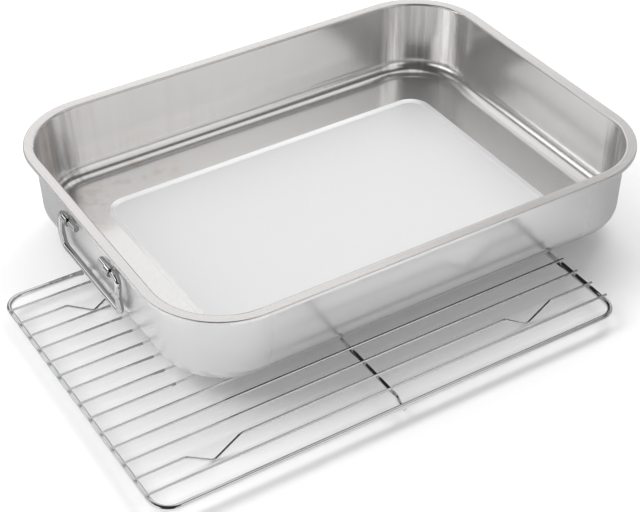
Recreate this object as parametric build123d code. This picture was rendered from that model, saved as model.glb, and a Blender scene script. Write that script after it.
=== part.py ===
from build123d import *
import math
import os

# A deep stainless roasting pan with a bail handle on each end wall, standing off centre on its
# own wire rack. Millimetres, +Z up, the pan's and the rack's long sides along X.
# The origin is on the surface that the rack's feet stand on, below the middle of the whole.

# Pan: outline, depth and sheet
rim_length = 400.0
rim_width = 300.0
rim_corner_radius = 61.0
rim_flange = 8.4
rim_lip = 2.6
rim_edge_radius = 0.8
rim_bend_radius = 2.0
pan_sheet = 1.0
pan_depth = 62.0
wall_lean_degrees = 2.0
floor_radius = 12.0

# Pan: the flat panel pressed down into the floor
panel_length = 292.0
panel_width = 191.0
panel_corner_radius = 18.0
panel_border = 4.5
panel_sink = 1.0

# Bail handles: one round rod each, its ends turned in through two saddle brackets
bail_rod_radius = 2.5
bail_leg_pitch = 92.5
bail_end_gap = 40.0
bail_drop = 30.0
bail_bend_radius = 5.0
bail_bow = 1.9
bail_bow_radius = 40.0
bail_bar_kick = 1.1
bail_end_round = 0.5
bail_shift = 5.0
pivot_depth = 21.5
pivot_off = 3.3

# Saddle brackets: a strap bent over the rod, its two feet flat on the wall
bracket_sheet = 1.2
bracket_width = 6.0
bracket_pitch = 68.6
bracket_clearance = 0.5
bracket_foot = 5.0
bracket_bend_radius = 1.0

# Rack: frame rod, cross wires, centre bar, and the feet bent into two of the wires, which are
# found by counting in from each long side
wire_count = 14
wire_pitch = 16.2
wire_radius = 1.0
wire_overhang = 2.5
frame_radius = 2.0
frame_length = 362.0
frame_corner_radius = 14.0
bar_radius = 1.5
bar_dip_run = 5.0
bar_dip_flat = 5.0
bar_dip_radius = 4.0
weld_sink = 0.2
foot_wire_count = 2
foot_place = 126.0
foot_half_width = 20.0
foot_vertex_drop = 13.2
foot_tip_radius = 4.0
foot_shoulder_radius = 5.0

# How the pan stands on the rack: from the rack's middle to the pan's middle
pan_shift_x = 72.1
pan_shift_y = 87.0
rest_clearance = 0.3

# Sizes that follow from the ones above
lean = math.radians(wall_lean_degrees)
wall_sheet = pan_sheet / math.cos(lean)
outer_inset = rim_flange - wall_sheet
frame_width = (wire_count + 1) * wire_pitch
wire_length = frame_length + 2 * wire_overhang

foot_slope = math.atan2(foot_vertex_drop, foot_half_width)
foot_drop = foot_vertex_drop - foot_tip_radius * (1 / math.cos(foot_slope) - 1)
wire_z = foot_drop + wire_radius
frame_z = wire_z - (wire_radius + frame_radius - weld_sink)
bar_z = wire_z - (wire_radius + bar_radius - weld_sink)
bar_low_z = frame_z - (frame_radius + bar_radius - weld_sink)
rim_z = wire_z + wire_radius + rest_clearance + panel_sink + pan_sheet + pan_depth

low_x = min(-wire_length / 2, pan_shift_x - rim_length / 2)
high_x = max(wire_length / 2, pan_shift_x + rim_length / 2)
low_y = min(-frame_width / 2 - frame_radius, pan_shift_y - rim_width / 2)
high_y = max(frame_width / 2 + frame_radius, pan_shift_y + rim_width / 2)
rack_place = Location((-(low_x + high_x) / 2, -(low_y + high_y) / 2, 0))
pan_place = rack_place * Location((pan_shift_x, pan_shift_y, rim_z))


def outline(inset):
    """The rim's outline drawn in by an inset."""
    return RectangleRounded(
        rim_length - 2 * inset, rim_width - 2 * inset, rim_corner_radius - inset
    )


def tub(inset, depth, bottom_radius):
    """A solid tub that narrows downward from the rim's top, its bottom edge rounded."""
    body = extrude(outline(inset), amount=depth, dir=(0, 0, -1), taper=wall_lean_degrees)
    bottom = body.faces().sort_by(Axis.Z)[0]
    return fillet(bottom.edges(), bottom_radius)


def panel(top_z):
    """The sunk panel's shape: its border slopes inward as it goes down."""
    top = Plane.XY.offset(top_z) * RectangleRounded(panel_length, panel_width, panel_corner_radius)
    low = Plane.XY.offset(top_z - panel_sink) * RectangleRounded(
        panel_length - 2 * panel_border,
        panel_width - 2 * panel_border,
        panel_corner_radius - panel_border,
    )
    return loft([top.face(), low.face()], ruled=True)


def make_pan_shell():
    """Walls, floor, flat rim and its turned-down lip, all one pressed sheet."""
    flange = extrude(outline(0), amount=pan_sheet, dir=(0, 0, -1))
    lip = extrude(outline(0) - outline(pan_sheet), amount=rim_lip, dir=(0, 0, -1))
    shell = tub(outer_inset, pan_depth + pan_sheet, floor_radius + pan_sheet)
    shell = shell + panel(-pan_depth - pan_sheet) + flange + lip
    shell = shell - tub(rim_flange, pan_depth, floor_radius) - panel(-pan_depth)
    top = shell.faces().sort_by(Axis.Z)[-1]
    shell = fillet(top.outer_wire().edges(), rim_edge_radius)
    top = shell.faces().sort_by(Axis.Z)[-1]
    shell = fillet(top.inner_wires()[0].edges(), rim_bend_radius)
    under = shell.faces().filter_by(Plane.XY).filter_by(
        lambda face: abs(face.center().Z + pan_sheet) < pan_sheet / 2
    )
    wall_wire = under[0].inner_wires()[0]
    return fillet(wall_wire.edges(), rim_bend_radius - pan_sheet)


def wall_plane(side):
    """On the end wall's outer face at the pivot's depth: local x points off the wall, y up it."""
    reach = rim_length / 2 - outer_inset - pivot_depth * math.tan(lean)
    return Plane(
        origin=(side * reach, bail_shift, -pivot_depth),
        x_dir=(side * math.cos(lean), 0, -math.sin(lean)),
        z_dir=(0, -side, 0),
    )


def make_bracket(side, end):
    """One saddle bracket, bent over the pivot rod, on the given end wall."""
    hole = bail_rod_radius + bracket_clearance
    back = hole + bracket_sheet
    solid_arch = Pos(pivot_off, 0) * Circle(back)
    solid_arch += Pos(pivot_off / 2, 0) * Rectangle(pivot_off, 2 * back)
    feet = Pos(bracket_sheet / 2, 0) * Rectangle(bracket_sheet, 2 * (back + bracket_foot))
    hollow = Pos(pivot_off, 0) * Circle(hole)
    hollow += Pos(pivot_off / 2, 0) * Rectangle(pivot_off, 2 * hole)
    beyond_wall = Pos(-back, 0) * Rectangle(2 * back, 2 * (back + bracket_foot))
    strap = solid_arch + feet - hollow - beyond_wall

    def near(x, y):
        return [
            corner
            for corner in strap.vertices()
            if abs(corner.X - x) < bracket_sheet / 4 and abs(abs(corner.Y) - y) < bracket_sheet / 4
        ]

    strap = fillet(near(bracket_sheet, back), bracket_bend_radius)
    strap = fillet(near(0, hole), bracket_bend_radius + bracket_sheet)
    place = wall_plane(side).offset(end * bracket_pitch / 2)
    return extrude(place * strap.face(), amount=bracket_width / 2, both=True)


def rod(path, radius):
    """A round rod of one radius along a path."""
    return sweep(Plane(origin=path @ 0, z_dir=path % 0) * Circle(radius), path=path)


def make_bail(side):
    """A bail: ends turned in, legs bowed off the wall, and a straight bar across the bottom."""
    half = bail_leg_pitch / 2
    half_gap = bail_end_gap / 2
    bow_off = pivot_off + bail_bow
    bar_off = pivot_off + bail_bar_kick
    near_side = [
        (pivot_off, 0, half_gap),
        (pivot_off, 0, half),
        (bow_off, -bail_drop / 2, half),
        (bar_off, -bail_drop, half),
    ]
    far_side = [(x, y, -z) for x, y, z in reversed(near_side)]
    place = wall_plane(side)
    points = [place.from_local_coords(Vector(*point)) for point in near_side + far_side]
    turns = [bail_bend_radius, bail_bow_radius, bail_bend_radius]
    bail = rod(FilletPolyline(*points, radius=turns + turns), bail_rod_radius)
    ends = bail.faces().filter_by(Plane.XZ)
    return fillet(ends.edges(), bail_end_round)


def make_frame():
    """The rack's frame: one rod bent into a rounded rectangle and closed."""
    outline_wire = RectangleRounded(frame_length, frame_width, frame_corner_radius).wire()
    return Pos(0, 0, frame_z) * rod(outline_wire, frame_radius)


def make_centre_bar():
    """The bar across the middle, under the wires, its ends dipping below the frame rod."""
    half = frame_width / 2
    dip = half - bar_dip_flat
    near_side = [(0, -half, bar_low_z), (0, -dip, bar_low_z), (0, bar_dip_run - dip, bar_z)]
    far_side = [(x, -y, z) for x, y, z in reversed(near_side)]
    return rod(FilletPolyline(*near_side, *far_side, radius=bar_dip_radius), bar_radius)


def make_wire(number):
    """One wire on top of the frame; two of them are bent down into feet near both ends."""
    y = (number - (wire_count + 1) / 2) * -wire_pitch
    end = wire_length / 2
    if foot_wire_count not in (number, wire_count + 1 - number):
        return rod(Line((-end, y, wire_z), (end, y, wire_z)), wire_radius)
    left = [
        (-end, y, wire_z),
        (-foot_place - foot_half_width, y, wire_z),
        (-foot_place, y, wire_z - foot_vertex_drop),
        (-foot_place + foot_half_width, y, wire_z),
    ]
    right = [(-x, y, z) for x, y, z in reversed(left)]
    turns = [foot_shoulder_radius, foot_tip_radius, foot_shoulder_radius]
    return rod(FilletPolyline(*left, *right, radius=turns + turns), wire_radius)


def build_nodes():
    """Every piece by its name, in its place."""
    frame = make_frame()
    bar = make_centre_bar() - frame
    rack = {"rack_frame": frame, "centre_bar": bar}
    for number in range(1, wire_count + 1):
        rack[f"wire_{number:02d}"] = make_wire(number) - frame - bar
    pan = {"pan_shell": make_pan_shell()}
    for side, hand in ((-1, "left"), (1, "right")):
        pan[f"bail_{hand}"] = make_bail(side)
        for end, place in ((1, "front"), (-1, "back")):
            pan[f"bracket_{hand}_{place}"] = make_bracket(side, side * end)
    nodes = {name: rack_place * piece for name, piece in rack.items()}
    nodes.update({name: pan_place * piece for name, piece in pan.items()})
    return nodes


os.makedirs("parts", exist_ok=True)
for node, piece in build_nodes().items():
    export_step(piece, f"parts/{node}.step")
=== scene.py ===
import math

import bpy
from mathutils import Matrix, Vector


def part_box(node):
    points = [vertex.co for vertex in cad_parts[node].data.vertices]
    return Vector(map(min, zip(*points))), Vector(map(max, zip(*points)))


# A roasting pan of pressed stainless steel that stands off centre on its wire rack, in a studio
# of light and dark cards. Metres, degrees, watts and linear colours.

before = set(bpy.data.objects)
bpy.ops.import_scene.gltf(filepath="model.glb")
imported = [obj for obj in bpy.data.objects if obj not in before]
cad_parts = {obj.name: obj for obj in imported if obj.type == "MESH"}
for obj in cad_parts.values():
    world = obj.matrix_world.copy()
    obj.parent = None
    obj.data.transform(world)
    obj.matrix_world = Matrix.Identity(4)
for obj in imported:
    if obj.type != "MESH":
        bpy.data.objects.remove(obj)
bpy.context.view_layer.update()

# Where the pan stands: the middle of its rim, half the rim's length and width, and its height
shell_low, shell_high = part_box("pan_shell")
PAN_X = (shell_low.x + shell_high.x) / 2
PAN_Y = (shell_low.y + shell_high.y) / 2
PAN_HALF_LENGTH = (shell_high.x - shell_low.x) / 2
PAN_HALF_WIDTH = (shell_high.y - shell_low.y) / 2
RIM_Z = shell_high.z


def grey(level):
    return (level, level, level, 1.0)


# The pan's zones. A pair is a smooth step, with none of the zone at its first number and all of
# it at its second. Places count from the pan's middle, depths from the rim's top, and a tilt is
# the z of the surface's normal.
INNER_TILT = (-0.012, 0.012)
LEVEL_TILT = (0.95, 0.999)
RIM_DEPTH = (0.0016, 0.0007)
WALL_DEPTH = (0.002, 0.006)
FLOOR_DEPTH = (0.050, 0.056)
END_RIM = (0.035, 0.065)
OUTER_CORNER_X = (0.09, 0.20)
OUTER_CORNER_Y = (0.05, 0.13)
OUTER_END_X = (0.16, 0.19)
OUTER_END_Y = (0.13, 0.05)

# The sunk panel's outline, and how far outside that outline its own finish and its border's end
PANEL_HALF_LENGTH = 0.146
PANEL_HALF_WIDTH = 0.0955
PANEL_CORNER = 0.018
PANEL_EDGE = (-0.0035, -0.0046)
BORDER_EDGE = (0.0004, -0.0006)
# Where the panel border's painted shade on the right and painted light at the back fade in
BORDER_SHADED_RIGHT = (0.139, 0.144)
BORDER_LIT_BACK = (0.088, 0.093)

# The pan's tints, dark and light, with painted shade on the panel border's right and light at its
# back
OUTSIDE_TINT = (0.88, 0.88, 0.885, 1.0)
INSIDE_TINTS = (0.82, 0.81, 0.80, 1.0), (0.89, 0.88, 0.87, 1.0)
RIM_TINTS = (0.70, 0.68, 0.67, 1.0), (0.82, 0.80, 0.79, 1.0)
PANEL_TINTS = (0.73, 0.73, 0.735, 1.0), (0.79, 0.79, 0.795, 1.0)
BORDER_TINT = grey(0.77)
BORDER_RIGHT_PAINTED_SHADE = (0.60, 0.60, 0.61, 1.0)
BORDER_BACK_PAINTED_LIGHT = grey(0.90)

# Patterns: how often each repeats along x, y and z in a metre, its detail and its roughness
GRAIN_ALONG_X = (9.0, 900.0, 900.0), 3.0, 0.6
GRAIN_ALONG_Y = (900.0, 9.0, 900.0), 3.0, 0.6
UPRIGHT_GRAIN = (260.0, 260.0, 6.0), 3.0, 0.6
CLOUDS = (14.0, 14.0, 14.0), 3.0, 0.55
SPECKLE = (1500.0, 1500.0, 1500.0), 2.0, 0.6
STREAKS = (45.0, 45.0, 5.0), 3.0, 0.6

# Warm streaks on the inside of the back left corner
STAIN_STEP = (0.5, 0.68)
STAIN_X = (0.0, -0.12)
STAIN_Y = (0.0, 0.10)
STAIN_TINT = (0.78, 0.69, 0.63, 1.0)
STAIN_SHARE = 0.6

# Drawing marks darkened as painted shade: dark streaks that run up the insides of the rounded
# corners. Their pattern repeats by the bearing round the bend, the end of the pan and the depth.
RIM_CORNER = 0.061
MARK_BLEND = 0.005
MARKS = (7.0, 1.0, 9.0), 4.0, 0.65
MARK_STEP = (0.38, 0.62)
MARK_SHADE_TINT = (0.36, 0.35, 0.35, 1.0)
MARK_SHADE_SHARE = 0.42

# The pan's roughness: of the sheet, and what each zone and its pattern add
ROUGH_SHEET = 0.15
ROUGH_CLOUDS = 0.06
ROUGH_INNER = -0.01
ROUGH_OUTER_CORNER = 0.26
ROUGH_OUTER_END = 0.13
ROUGH_WALLS = 0.015
ROUGH_WALL_GRAIN = 0.07
ROUGH_RIM = 0.02
ROUGH_RIM_GRAIN = 0.08
ROUGH_PANEL = 0.25
ROUGH_PANEL_SPECKLE = 0.08

# How metallic the pan's sheet is, and what each zone takes off
METAL_SHEET = 0.92
METAL_OFF_INNER = 0.07
METAL_OFF_RIM = 0.03
METAL_OFF_PANEL = 0.45
METAL_OFF_BORDER = 0.55

# The relief of the pan's patterns
RELIEF_RIM = 0.6
RELIEF_WALLS = 0.08
RELIEF_PANEL = 0.8
PAN_RELIEF_DEPTH = 0.00006
PAN_RELIEF_STRENGTH = 0.6

# The rack's plated wire
WIRE_TINTS = (0.74, 0.74, 0.75, 1.0), (0.86, 0.86, 0.87, 1.0)
WIRE_GRAIN = (20.0, 1400.0, 1400.0), 2.0, 0.5
WIRE_SPOTS = (120.0, 120.0, 120.0), 3.0, 0.6
ROUGH_WIRE = 0.02
ROUGH_WIRE_SPOTS = 0.03
ROUGH_WIRE_GRAIN = 0.02
WIRE_RELIEF_DEPTH = 0.000006

# The bails and their brackets
BAIL_TINTS = (0.62, 0.615, 0.61, 1.0), (0.74, 0.735, 0.73, 1.0)
BAIL_GRAIN = (900.0, 30.0, 900.0), 3.0, 0.6
BAIL_WEAR = (60.0, 60.0, 60.0), 3.0, 0.6
ROUGH_BAIL = 0.01
ROUGH_BAIL_WEAR = 0.03
ROUGH_BAIL_GRAIN = 0.02
BAIL_RELIEF_DEPTH = 0.00001
ROD_RELIEF_STRENGTH = 0.5

# The floor: what the camera and the metal see of it is lifted, more so far out. The metal sees
# it darker to the right and at the back, as painted shade, and sees less of the far lift.
FLOOR_SIZE = 12.0
FLOOR_TINT = grey(0.93)
FLOOR_ROUGHNESS = 0.9
FLOOR_LIFT = 0.10
FLOOR_FAR = (0.45, 1.1)
FLOOR_FAR_LIFT = 0.9
MIRRORED_FADE = 0.6
MIRRORED_PAINTED_SHADE = grey(0.33)
MIRRORED_SHADE_RIGHT = (0.08, 0.26)
MIRRORED_SHADE_BACK = (0.06, 0.16)

# The world's level, and the lamps, which all point at one place
WORLD_LEVEL = 0.36
KEY_PLACE = (0.08, 0.80, 1.40)
KEY_SIZE = (1.8, 1.9)
KEY_WATTS = 9.8
SIDE_PLACE = (1.0, 0.55, 1.15)
SIDE_SIZE = (1.0, 1.0)
SIDE_WATTS = 12.0
AIM = (0.0, 0.0, 0.0)

# The ring round the studio: dark at the foot, then three belts of tones. The steps are the
# heights at which one belt gives way to the next, and each belt lists bearing and level, with
# bearing 0 at the back and 90 at the right.
RING_REACH = 1.92
RING_SIDES = 96
RING_FOOT = 0.03
LOW_STEP = (0.44, 0.52)
MID_STEP = (0.6, 0.7)
HIGH_STEP = (0.99, 1.03)
LOW_LEVELS = [(0, 1.0), (190, 1.0), (197, 0.1), (240, 0.1), (250, 1.0)]
MID_LEVELS = [
    (0, 0.6), (18, 1.0), (70, 1.0), (82, 0.45), (105, 0.45), (118, 0.9), (128, 0.08), (147, 0.08),
    (150, 1.0), (189, 1.0), (194, 0.05), (243, 0.05), (250, 1.9), (321, 1.8),
    (327, 0.1), (350, 0.1), (360, 0.6),
]
HIGH_LEVELS = [
    (0, 0.6), (18, 1.0), (70, 1.0), (82, 0.45), (105, 0.45), (125, 1.0), (189, 1.0), (194, 0.05),
    (243, 0.05), (250, 1.9), (321, 1.8), (327, 0.1), (350, 0.1), (360, 0.6),
]

# The ceiling: dim, with a pale field over the back, a pale wedge at the front left and a lit card
CEILING_HEIGHT = 1.2
DIM_LEVEL = 0.03
PALE_LEVEL = 0.95
PALE_REACH = (0.6, 0.9)
PALE_BACK = (0.0, 0.3)
PALE_LEFT = (-0.3, 0.1)
PALE_FAR_LEFT = (-0.68, -0.58)
PALE_LEFT_REACH = (1.58, 1.5)
PALE_RIGHT = (0.76, 1.0)
PALE_FADE = 0.65
WEDGE_LEVEL = 0.9
WEDGE_REACH = (0.75, 0.9)
WEDGE_FRONT = (0.06, -0.06)
WEDGE_FRONT_SLANT = 0.95
WEDGE_SIDE = (-0.06, 0.06)
WEDGE_SIDE_SLANT = 0.1
CARD_X = 0.5
CARD_Y = 0.22
CARD_HALF_X = 0.42
CARD_HALF_Y = 0.3
CARD_SOFT = 0.08

# Dark flags of painted shade on the pan's front and left walls, for the rack's rods in front of them
FLAG_TILT = 92.0
FLAG_Z = 0.0385
FLAG_TALL = 0.073
FRONT_FLAG_OFF = 0.1422
FRONT_FLAG_LONG = 0.34
FRONT_FLAG_BEARING = 0.0
FRONT_FLAG_LEVEL = 0.02
LEFT_FLAG_OFF = 0.1918
LEFT_FLAG_LONG = 0.24
LEFT_FLAG_BEARING = -90.0
LEFT_FLAG_LEVEL = 0.3

# The photograph's view: turn round the object, height above the horizon and roll; and the
# camera's place from the middle of the rim
VIEW_AZIMUTH = -31.42
VIEW_ELEVATION = 37.81
VIEW_ROLL = -0.65
VIEW_PLACE = (-0.52219, -0.84009, 0.65758)
VIEW_LENS = 90.35
VIEW_SENSOR = 36.0
VIEW_FAR = 50.0


class Value:
    """A socket whose sums add Math nodes."""

    def __init__(self, finish, socket):
        self.finish = finish
        self.socket = socket

    def apply(self, operation, *others):
        return self.finish.node("ShaderNodeMath", {"operation": operation}, [self, *others])

    def highest(self, other):
        return self.apply("MAXIMUM", other)

    def __add__(self, other):
        return self.apply("ADD", other)

    __radd__ = __add__

    def __sub__(self, other):
        return self.apply("SUBTRACT", other)

    def __rsub__(self, other):
        return self.finish.node("ShaderNodeMath", {"operation": "SUBTRACT"}, [other, self])

    def __mul__(self, other):
        return self.apply("MULTIPLY", other)

    __rmul__ = __mul__

    def __truediv__(self, other):
        return self.apply("DIVIDE", other)

    def __abs__(self):
        return self.apply("ABSOLUTE")


class Finish:
    """A material or a world under construction: its nodes, and the output that they end in."""

    def __init__(self, item, end="ShaderNodeOutputMaterial"):
        self.item = item
        item.use_nodes = True
        self.tree = item.node_tree
        self.tree.nodes.clear()
        self.end = self.tree.nodes.new(end)

    def feed(self, socket, value):
        """A link into a socket, or its value."""
        if isinstance(value, Value):
            self.tree.links.new(value.socket, socket)
        else:
            socket.default_value = value

    def node(self, kind, settings=None, inputs=(), out=0):
        """Any node: its settings first, then the values or links of its sockets."""
        made = self.tree.nodes.new(kind)
        for key, value in (settings or {}).items():
            if key == "stops":
                ramp = made.color_ramp
                while len(ramp.elements) < len(value):
                    ramp.elements.new(1.0)
                for element, (place, colour) in zip(ramp.elements, value):
                    element.position = place
                    element.color = colour
            else:
                setattr(made, key, value)
        pairs = inputs.items() if isinstance(inputs, dict) else enumerate(inputs)
        for key, value in pairs:
            self.feed(made.inputs[key], value)
        return Value(self, made.outputs[out])

    def ramp(self, value, low, high):
        """A smooth step of a value from low to high."""
        return self.node(
            "ShaderNodeMapRange",
            {"interpolation_type": "SMOOTHSTEP"},
            {"Value": value, "From Min": low, "From Max": high},
        )

    def noise(self, place, repeats, detail, roughness):
        """Noise that repeats so often along each axis."""
        spread = self.node("ShaderNodeVectorMath", {"operation": "MULTIPLY"}, [place, repeats])
        return self.node(
            "ShaderNodeTexNoise",
            {},
            {"Vector": spread, "Scale": 1.0, "Detail": detail, "Roughness": roughness},
        )

    def mix(self, amount, first, second):
        """A colour between two colours."""
        return self.node(
            "ShaderNodeMix", {"data_type": "RGBA"}, {0: amount, 6: first, 7: second}, out=2
        )

    def coordinates(self, kind):
        return self.node("ShaderNodeTexCoord", {}, (), kind)

    def axes(self, vector):
        """The x, y and z of a vector, each as a value."""
        outputs = self.node("ShaderNodeSeparateXYZ", {}, [vector]).socket.node.outputs
        return [Value(self, output) for output in outputs]

    def rays(self, *kinds):
        """How a surface is met: by rays of the kinds named."""
        outputs = self.node("ShaderNodeLightPath").socket.node.outputs
        return [Value(self, outputs[f"Is {kind} Ray"]) for kind in kinds]

    def close(self, shader):
        """Ends the nodes in a shader."""
        self.tree.links.new(shader.socket, self.end.inputs[0])
        return self.item

    def metal(self, colour, roughness, metallic, height, depth, strength):
        """Ends the nodes in one metal shader with a relief."""
        relief = self.node(
            "ShaderNodeBump", {}, {"Height": height, "Distance": depth, "Strength": strength}
        )
        sockets = {
            "Base Color": colour, "Roughness": roughness, "Metallic": metallic, "Normal": relief
        }
        return self.close(self.node("ShaderNodeBsdfPrincipled", {}, sockets))


def new_finish(name):
    return Finish(bpy.data.materials.new(name))


def outside_rounded(f, x, y, half_x, half_y, radius):
    """How far a point lies outside a rounded rectangle in plan; negative inside it."""
    past_x = abs(x) - (half_x - radius)
    past_y = abs(y) - (half_y - radius)
    out_x = past_x.highest(0.0)
    out_y = past_y.highest(0.0)
    outside = (out_x * out_x + out_y * out_y).apply("SQRT")
    inside = past_x.highest(past_y).apply("MINIMUM", 0.0)
    return outside + inside - radius


def pan_steel():
    """Pressed stainless sheet: satin inside, a matter floor panel, brushed rim, polished outside."""
    f = new_finish("pan_stainless")
    place = f.coordinates("Object")
    x, y, z = f.axes(place)
    px, py = x - PAN_X, y - PAN_Y
    off_x, off_y = abs(px), abs(py)
    depth = RIM_Z - z
    tilt = f.axes(f.coordinates("Normal"))[2]

    inner = f.ramp(tilt, *INNER_TILT)
    outer = 1 - inner
    level = f.ramp(tilt, *LEVEL_TILT)
    upright = inner * (1 - level)
    rim = f.ramp(depth, *RIM_DEPTH) * inner
    walls = upright * f.ramp(depth, *WALL_DEPTH)
    low = f.ramp(depth, *FLOOR_DEPTH)
    past_panel = outside_rounded(
        f, px, py, PANEL_HALF_LENGTH, PANEL_HALF_WIDTH, PANEL_CORNER
    )
    panel = f.ramp(past_panel, *PANEL_EDGE) * low * level
    border = f.ramp(past_panel, *BORDER_EDGE) * low * inner - panel
    outer_corner = f.ramp(off_x, *OUTER_CORNER_X) * f.ramp(off_y, *OUTER_CORNER_Y) * outer
    outer_end = f.ramp(off_x, *OUTER_END_X) * f.ramp(off_y, *OUTER_END_Y) * outer

    on_end = f.ramp(off_x - off_y, *END_RIM)
    grain = f.node(
        "ShaderNodeMix",
        {"data_type": "FLOAT"},
        {0: on_end, 2: f.noise(place, *GRAIN_ALONG_X), 3: f.noise(place, *GRAIN_ALONG_Y)},
    )
    streaked = f.noise(place, *UPRIGHT_GRAIN)
    speckle = f.noise(place, *SPECKLE)

    rough = ROUGH_SHEET + ROUGH_CLOUDS * f.noise(place, *CLOUDS) + ROUGH_INNER * inner
    rough = rough + ROUGH_OUTER_CORNER * outer_corner + ROUGH_OUTER_END * outer_end
    rough = rough + walls * (ROUGH_WALLS + ROUGH_WALL_GRAIN * streaked)
    rough = rough + rim * (ROUGH_RIM + ROUGH_RIM_GRAIN * grain)
    rough = rough + panel * (ROUGH_PANEL + ROUGH_PANEL_SPECKLE * speckle)

    stain = f.ramp(f.noise(place, *STREAKS), *STAIN_STEP) * inner
    stain = stain * f.ramp(px, *STAIN_X) * f.ramp(py, *STAIN_Y)
    inside = f.mix(streaked, *INSIDE_TINTS)
    inside = f.mix(stain * STAIN_SHARE, inside, STAIN_TINT)
    # Painted shade: dark drawing marks up the inside corners
    inside = f.mix(marks_and_painted_shade(f, px, py, depth) * upright * MARK_SHADE_SHARE, inside, MARK_SHADE_TINT)
    # The panel border: its own grey, with painted shade on its right and painted light at its back
    border_tint_painted_lit_and_shaded = f.mix(f.ramp(px, *BORDER_SHADED_RIGHT), BORDER_TINT, BORDER_RIGHT_PAINTED_SHADE)
    border_tint_painted_lit_and_shaded = f.mix(f.ramp(py, *BORDER_LIT_BACK), border_tint_painted_lit_and_shaded, BORDER_BACK_PAINTED_LIGHT)
    colour = f.mix(inner, OUTSIDE_TINT, inside)
    colour = f.mix(rim, colour, f.mix(grain, *RIM_TINTS))
    colour = f.mix(panel, colour, f.mix(speckle, *PANEL_TINTS))
    colour = f.mix(border, colour, border_tint_painted_lit_and_shaded)

    metallic = METAL_SHEET - METAL_OFF_INNER * inner - METAL_OFF_RIM * rim
    metallic = metallic - METAL_OFF_PANEL * panel - METAL_OFF_BORDER * border
    height = RELIEF_RIM * grain * rim + RELIEF_WALLS * streaked * upright
    height = height + RELIEF_PANEL * speckle * panel
    return f.metal(colour, rough, metallic, height, PAN_RELIEF_DEPTH, PAN_RELIEF_STRENGTH)


def marks_and_painted_shade(f, px, py, depth):
    """Marks of painted shade that run up each rounded corner, by the bearing from the middle of its
    bend.
    """
    bend_x = PAN_HALF_LENGTH - RIM_CORNER
    bend_y = PAN_HALF_WIDTH - RIM_CORNER
    off_x, off_y = abs(px), abs(py)
    bearing = f.node("ShaderNodeMath", {"operation": "ARCTAN2"}, [off_y - bend_y, off_x - bend_x])
    bent = f.ramp(off_x, bend_x - MARK_BLEND, bend_x + MARK_BLEND)
    bent = bent * f.ramp(off_y, bend_y - MARK_BLEND, bend_y + MARK_BLEND)
    unrolled = f.node("ShaderNodeCombineXYZ", {}, [bearing, px.apply("SIGN"), depth])
    return bent * (1 - f.ramp(f.noise(unrolled, *MARKS), *MARK_STEP))


def wire_chrome():
    """Bright plated wire with a little dulling and fine drawing marks along it."""
    f = new_finish("rack_chrome")
    place = f.coordinates("Object")
    drawn = f.noise(place, *WIRE_GRAIN)
    spots = f.noise(place, *WIRE_SPOTS)
    rough = ROUGH_WIRE + ROUGH_WIRE_SPOTS * spots + ROUGH_WIRE_GRAIN * drawn
    tint = f.mix(spots, *WIRE_TINTS)
    return f.metal(tint, rough, 1.0, drawn, WIRE_RELIEF_DEPTH, ROD_RELIEF_STRENGTH)


def bail_polish():
    """Polished stainless rod and straps with faint rubbing marks."""
    f = new_finish("bail_stainless")
    place = f.coordinates("Object")
    marks = f.noise(place, *BAIL_GRAIN)
    worn = f.noise(place, *BAIL_WEAR)
    rough = ROUGH_BAIL + ROUGH_BAIL_WEAR * worn + ROUGH_BAIL_GRAIN * marks
    tint = f.mix(worn, *BAIL_TINTS)
    return f.metal(tint, rough, 1.0, marks, BAIL_RELIEF_DEPTH, ROD_RELIEF_STRENGTH)


def dress_nodes():
    """Each CAD piece takes its finish."""
    shell, chrome, polish = pan_steel(), wire_chrome(), bail_polish()
    for name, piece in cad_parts.items():
        if name == "pan_shell":
            finish = shell
        elif name.startswith(("bail", "bracket")):
            finish = polish
        else:
            finish = chrome
        for slot in piece.material_slots:
            slot.material = finish


def add_plane(size, place, turn=(0.0, 0.0, 0.0)):
    bpy.ops.object.select_all(action="DESELECT")
    bpy.ops.mesh.primitive_plane_add(size=size, location=place, rotation=turn)
    return bpy.context.object


def reach_of(x, y):
    """How far a point lies from the middle, in plan."""
    return (x * x + y * y).apply("SQRT")


def studio_floor():
    """A pale floor. What the camera and the metal see of it is lifted to white; shadows stay."""
    f = new_finish("floor_white")
    x, y = f.axes(f.coordinates("Object"))[:2]
    camera, glossy, transmission = f.rays("Camera", "Glossy", "Transmission")
    # Painted shade in the floor's reflection: the metal sees it darker to the right and at the back
    dark = f.ramp(x, *MIRRORED_SHADE_RIGHT).highest(f.ramp(y, *MIRRORED_SHADE_BACK)) * glossy
    colour = f.mix(dark, FLOOR_TINT, MIRRORED_PAINTED_SHADE)
    base = f.node(
        "ShaderNodeBsdfPrincipled", {}, {"Base Color": colour, "Roughness": FLOOR_ROUGHNESS}
    )
    far = FLOOR_FAR_LIFT * f.ramp(reach_of(x, y), *FLOOR_FAR) * (1 - MIRRORED_FADE * glossy)
    tone = camera.highest(glossy).highest(transmission) * (FLOOR_LIFT + far)
    lift = f.node("ShaderNodeEmission", {}, {"Color": tone, "Strength": 1.0})
    floor = add_plane(FLOOR_SIZE, (0.0, 0.0, 0.0))
    floor.name = "studio_floor"
    floor.data.materials.append(f.close(f.node("ShaderNodeAddShader", {}, [base, lift])))


def mirrored(card, name, material):
    """A surface that only the metal sees: it stops no light and the camera looks through it."""
    card.name = name
    card.data.materials.append(material)
    card.visible_camera = False
    card.visible_diffuse = False
    card.visible_shadow = False


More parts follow.
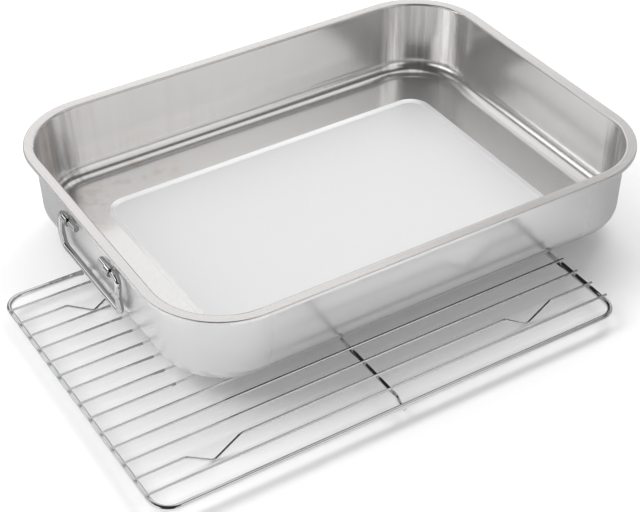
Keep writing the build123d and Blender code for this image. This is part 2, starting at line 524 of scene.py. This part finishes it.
def studio_ring():
    """What stands round the studio, as the metal mirrors it, by its bearing from the back."""
    f = new_finish("ring_tones")
    x, y, z = f.axes(f.coordinates("Object"))
    turns = f.node("ShaderNodeMath", {"operation": "ARCTAN2"}, [x, y]) / math.tau
    turns = (turns + 1.0).apply("FRACT")
    height = z + CEILING_HEIGHT / 2
    tone = grey(RING_FOOT)
    belts = (LOW_STEP, LOW_LEVELS), (MID_STEP, MID_LEVELS), (HIGH_STEP, HIGH_LEVELS)
    for step, levels in belts:
        stops = [(degrees / 360, grey(level)) for degrees, level in levels]
        belt = f.node("ShaderNodeValToRGB", {"stops": stops}, [turns])
        tone = f.mix(f.ramp(height, *step), tone, belt)
    bpy.ops.object.select_all(action="DESELECT")
    bpy.ops.mesh.primitive_cylinder_add(
        vertices=RING_SIDES,
        radius=RING_REACH,
        depth=CEILING_HEIGHT,
        end_fill_type="NOTHING",
        location=(0.0, 0.0, CEILING_HEIGHT / 2),
    )
    glow = f.node("ShaderNodeEmission", {}, {"Color": tone, "Strength": 1.0})
    mirrored(bpy.context.object, "studio_ring", f.close(glow))


def studio_ceiling():
    """What hangs over the studio, as the metal mirrors it."""
    f = new_finish("ceiling_dim")
    x, y = f.axes(f.coordinates("Object"))[:2]
    reach = reach_of(x, y)
    left = f.ramp(x, *PALE_FAR_LEFT) * f.ramp(reach, *PALE_LEFT_REACH)
    pale = f.ramp(reach, *PALE_REACH) * f.ramp(y, *PALE_BACK)
    pale = pale * left.highest(f.ramp(x, *PALE_LEFT)) * (1 - PALE_FADE * f.ramp(x, *PALE_RIGHT))
    wedge = f.ramp(x + WEDGE_FRONT_SLANT * y, *WEDGE_FRONT)
    wedge = wedge * f.ramp(x + WEDGE_SIDE_SLANT * y, *WEDGE_SIDE) * f.ramp(reach, *WEDGE_REACH)
    card = f.ramp(abs(x - CARD_X), CARD_HALF_X + CARD_SOFT, CARD_HALF_X)
    card = card * f.ramp(abs(y - CARD_Y), CARD_HALF_Y + CARD_SOFT, CARD_HALF_Y)
    light = (pale + WEDGE_LEVEL * wedge).highest(card)
    tone = DIM_LEVEL + (PALE_LEVEL - DIM_LEVEL) * light
    glow = f.node("ShaderNodeEmission", {}, {"Color": tone, "Strength": 1.0})
    ceiling = add_plane(2 * RING_REACH, (0.0, 0.0, CEILING_HEIGHT))
    mirrored(ceiling, "studio_ceiling", f.close(glow))


def painted_shade_flag(name, centre, long, bearing, level):
    """A dark flag of painted shade along a wall of the pan, seen only by what stands in front of it.
    """
    turn = (math.radians(FLAG_TILT), 0.0, math.radians(bearing))
    flag = add_plane(1.0, centre, turn)
    flag.scale = (long, FLAG_TALL, 1.0)
    bpy.ops.object.transform_apply(location=True, rotation=True, scale=True)
    f = new_finish(name)
    behind = f.node("ShaderNodeNewGeometry", {}, (), "Backfacing")
    glow = f.node("ShaderNodeEmission", {}, {"Strength": level})
    clear = f.node("ShaderNodeBsdfTransparent")
    mirrored(flag, name, f.close(f.node("ShaderNodeMixShader", {}, [behind, glow, clear])))


def studio_world():
    """White seen directly or in the metal, a plain level of light for everything else."""
    bpy.context.scene.world = bpy.data.worlds.new("studio")
    f = Finish(bpy.context.scene.world, "ShaderNodeOutputWorld")
    camera, glossy, transmission = f.rays("Camera", "Glossy", "Transmission")
    seen = camera.highest(glossy).highest(transmission)
    tone = WORLD_LEVEL + (1 - WORLD_LEVEL) * seen
    f.close(f.node("ShaderNodeBackground", {}, {"Color": tone, "Strength": 1.0}))


def softbox(name, place, size, watts):
    """A soft lamp that points at the middle. The metal doesn't mirror it."""
    lamp = bpy.data.lights.new(name, "AREA")
    lamp.shape = "RECTANGLE"
    lamp.size, lamp.size_y = size
    lamp.energy = watts
    item = bpy.data.objects.new(name, lamp)
    bpy.context.scene.collection.objects.link(item)
    item.location = place
    item.rotation_euler = (Vector(AIM) - Vector(place)).to_track_quat("-Z", "Y").to_euler()
    item.visible_glossy = False


def photo_camera():
    """The photograph's view of the object."""
    turns = (VIEW_AZIMUTH, VIEW_ELEVATION, VIEW_ROLL)
    azimuth, elevation, roll = (math.radians(turn) for turn in turns)
    back = Vector((
        math.sin(azimuth) * math.cos(elevation),
        -math.cos(azimuth) * math.cos(elevation),
        math.sin(elevation),
    ))
    right = Vector((math.cos(azimuth), math.sin(azimuth), 0.0))
    up = back.cross(right)
    rolled_right = math.cos(roll) * right + math.sin(roll) * up
    rolled_up = math.cos(roll) * up - math.sin(roll) * right
    view = bpy.data.cameras.new("photo_view")
    view.sensor_fit = "HORIZONTAL"
    view.sensor_width = VIEW_SENSOR
    view.lens = VIEW_LENS
    view.clip_end = VIEW_FAR
    camera = bpy.data.objects.new("photo_view", view)
    bpy.context.scene.collection.objects.link(camera)
    turn = Matrix((rolled_right, rolled_up, back)).transposed().to_4x4()
    stand = Vector((PAN_X, PAN_Y, RIM_Z)) + Vector(VIEW_PLACE)
    camera.matrix_world = Matrix.Translation(stand) @ turn
    bpy.context.scene.camera = camera


dress_nodes()
studio_world()
studio_floor()
studio_ceiling()
studio_ring()
# Painted shade: dark flags on the front and left walls
front = (PAN_X, PAN_Y - FRONT_FLAG_OFF, FLAG_Z)
painted_shade_flag("painted_shade_front", front, FRONT_FLAG_LONG, FRONT_FLAG_BEARING, FRONT_FLAG_LEVEL)
left = (PAN_X - LEFT_FLAG_OFF, PAN_Y, FLAG_Z)
painted_shade_flag("painted_shade_left", left, LEFT_FLAG_LONG, LEFT_FLAG_BEARING, LEFT_FLAG_LEVEL)
softbox("softbox_back", KEY_PLACE, KEY_SIZE, KEY_WATTS)
for side in (-1, 1):
    side_x, side_y, side_z = SIDE_PLACE
    softbox(f"softbox_side_{side}", (side * side_x, side_y, side_z), SIDE_SIZE, SIDE_WATTS)
photo_camera()
bpy.context.scene.view_settings.view_transform = "Standard"
